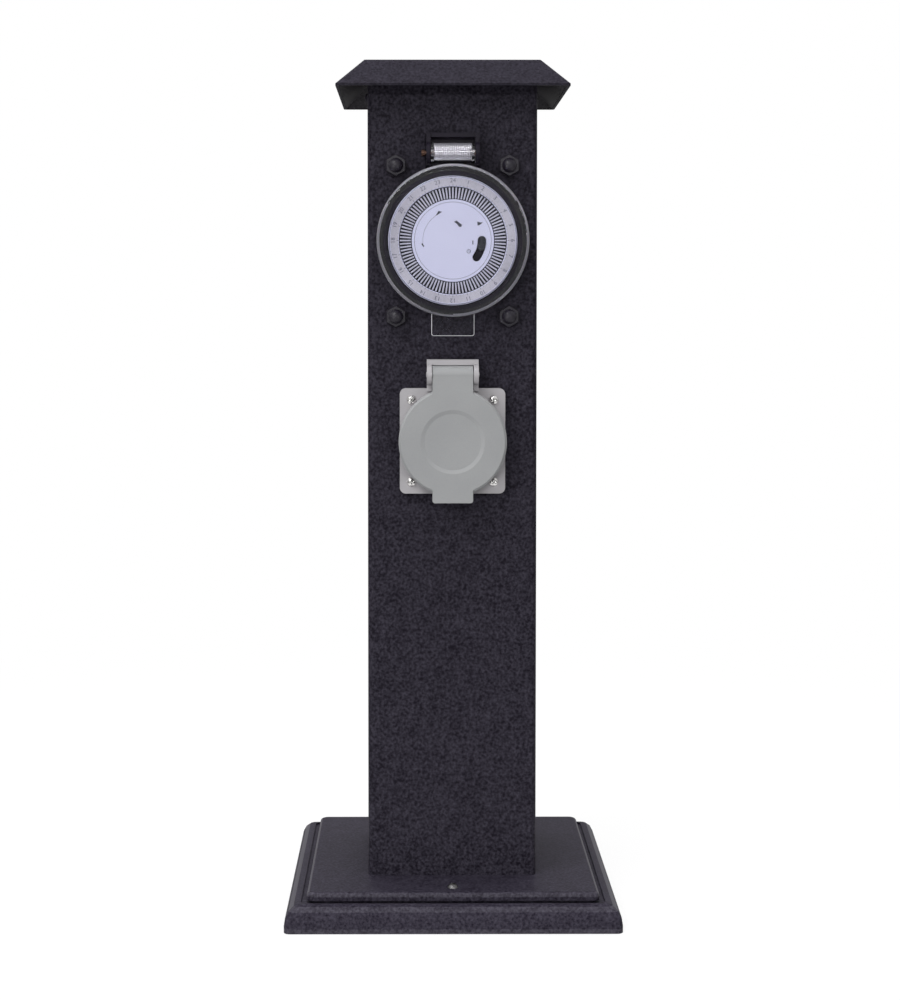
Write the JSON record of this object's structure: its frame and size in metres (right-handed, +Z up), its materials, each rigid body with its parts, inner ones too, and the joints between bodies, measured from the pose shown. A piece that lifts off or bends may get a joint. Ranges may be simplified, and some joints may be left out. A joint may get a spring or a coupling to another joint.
{
  "type": "garden socket post",
  "caption": "Square painted post on a stepped plinth, with a roof cap, a dial timer behind a hinged clear lid and a power socket behind a sprung hinged lid.",
  "frame": {"origin": "centre of the plinth's underside, on the ground", "axes": "+Z up along the post, -Y towards the front with the dial and the socket, +X to the right as seen from the front"},
  "size_m": [0.156, 0.156, 0.403],
  "materials": {
    "hammered_paint": "dark hammered powder paint",
    "zinc_steel": "zinc plated",
    "bright_screw": "bright plated",
    "black_plastic": "fine satin",
    "grey_plastic": "satin",
    "white_plastic": "satin, slightly lilac",
    "dark_plastic": "satin",
    "clear_plastic": "clear, polished",
    "rubber": "matt",
    "brass": "plain",
    "bronze_pin": "tarnished",
    "wire_brown": "insulation",
    "wire_black": "insulation",
    "wire_blue": "insulation",
    "wire_green": "insulation"
  },
  "bodies": {
    "post": {"base_plinth": "hammered_paint", "post_tube": "hammered_paint", "cap_roof": "hammered_paint", "cap_screws": "hammered_paint", "foot_plate": "hammered_paint", "foot_strap": "zinc_steel", "foot_bolts": "zinc_steel", "cap_bracket": "zinc_steel", "timer_bolts": "zinc_steel", "movement_screws": "zinc_steel", "timer_motor": "zinc_steel", "lid_spring": "zinc_steel", "socket_nuts": "zinc_steel", "carrier_screws": "zinc_steel", "socket_lid_pin": "zinc_steel", "socket_lid_spring": "zinc_steel", "earth_lug": "zinc_steel", "base_screws": "bright_screw", "socket_screws": "bright_screw", "timer_housing": "black_plastic", "timer_washers": "black_plastic", "timer_dome_nuts": "black_plastic", "gland_body": "black_plastic", "gland_cap": "black_plastic", "gland_locknut": "black_plastic", "timer_switch": "black_plastic", "contact_carrier": "black_plastic", "socket_housing": "grey_plastic", "dial_centre": "white_plastic", "terminal_block": "white_plastic", "movement_case": "dark_plastic", "timer_gasket": "rubber", "socket_gasket": "rubber", "lid_seal": "rubber", "gland_seal": "rubber", "block_screws": "brass", "earth_stud": "brass", "earth_nut": "brass", "pin_contacts": "brass", "earth_clips": "brass", "lid_pin": "bronze_pin", "wire_line": "wire_brown", "wire_switched": "wire_black", "wire_neutral": "wire_blue", "wire_timer": "wire_blue", "wire_earth": "wire_green", "wire_bond": "wire_green"},
    "clear_lid": {"timer_lid": "clear_plastic"},
    "dial": {"ring_gear": "white_plastic", "hour_ring": "white_plastic", "tappet_carrier": "dark_plastic", "dial_tappets": "white_plastic"},
    "set_block": {"set_tappets": "white_plastic"},
    "mode_knob": {"mode_slider": "dark_plastic"},
    "pinion": {"drive_pinion": "white_plastic"},
    "plunger": {"switch_plunger": "white_plastic"},
    "plug_lid": {"socket_lid": "grey_plastic", "socket_lid_seal": "rubber"}
  },
  "joints": [
    {"name": "timer_lid_hinge", "type": "hinge", "parent": "post", "child": "clear_lid", "pos_m": [0, -0.0493, 0.3588], "axis": [-1, 0, 0], "range_deg": [0, 120], "stiffness_Nm_per_rad": 0.004, "springref_deg": -57.3},
    {"name": "plug_lid_hinge", "type": "hinge", "parent": "post", "child": "plug_lid", "pos_m": [0, -0.049, 0.2556], "axis": [-1, 0, 0], "range_deg": [0, 100], "stiffness_Nm_per_rad": 0.006, "springref_deg": -57.3},
    {"name": "dial_turn", "type": "hinge", "parent": "post", "child": "dial", "pos_m": [0, -0.045, 0.3181], "axis": [0, -1, 0], "continuous": true},
    {"name": "set_tappet_press", "type": "slide", "parent": "dial", "child": "set_block", "axis": [0, 1, 0], "range_m": [0, 0.0012]},
    {"name": "mode_slide", "type": "hinge", "parent": "post", "child": "mode_knob", "pos_m": [0, -0.05, 0.3181], "axis": [0, -1, 0], "range_deg": [-23.5, 0]},
    {"name": "pinion_turn", "type": "hinge", "parent": "post", "child": "pinion", "pos_m": [-0.01689, -0.042, 0.30121], "axis": [0, -1, 0], "continuous": true},
    {"name": "plunger_press", "type": "slide", "parent": "post", "child": "plunger", "axis": [0, 1, 0], "range_m": [0, 0.001], "stiffness_N_per_m": 150, "springref_m": -0.001}
  ],
  "couplings": [
    {"joint": "pinion_turn", "follows": "dial_turn", "ratio": 8}
  ]
}
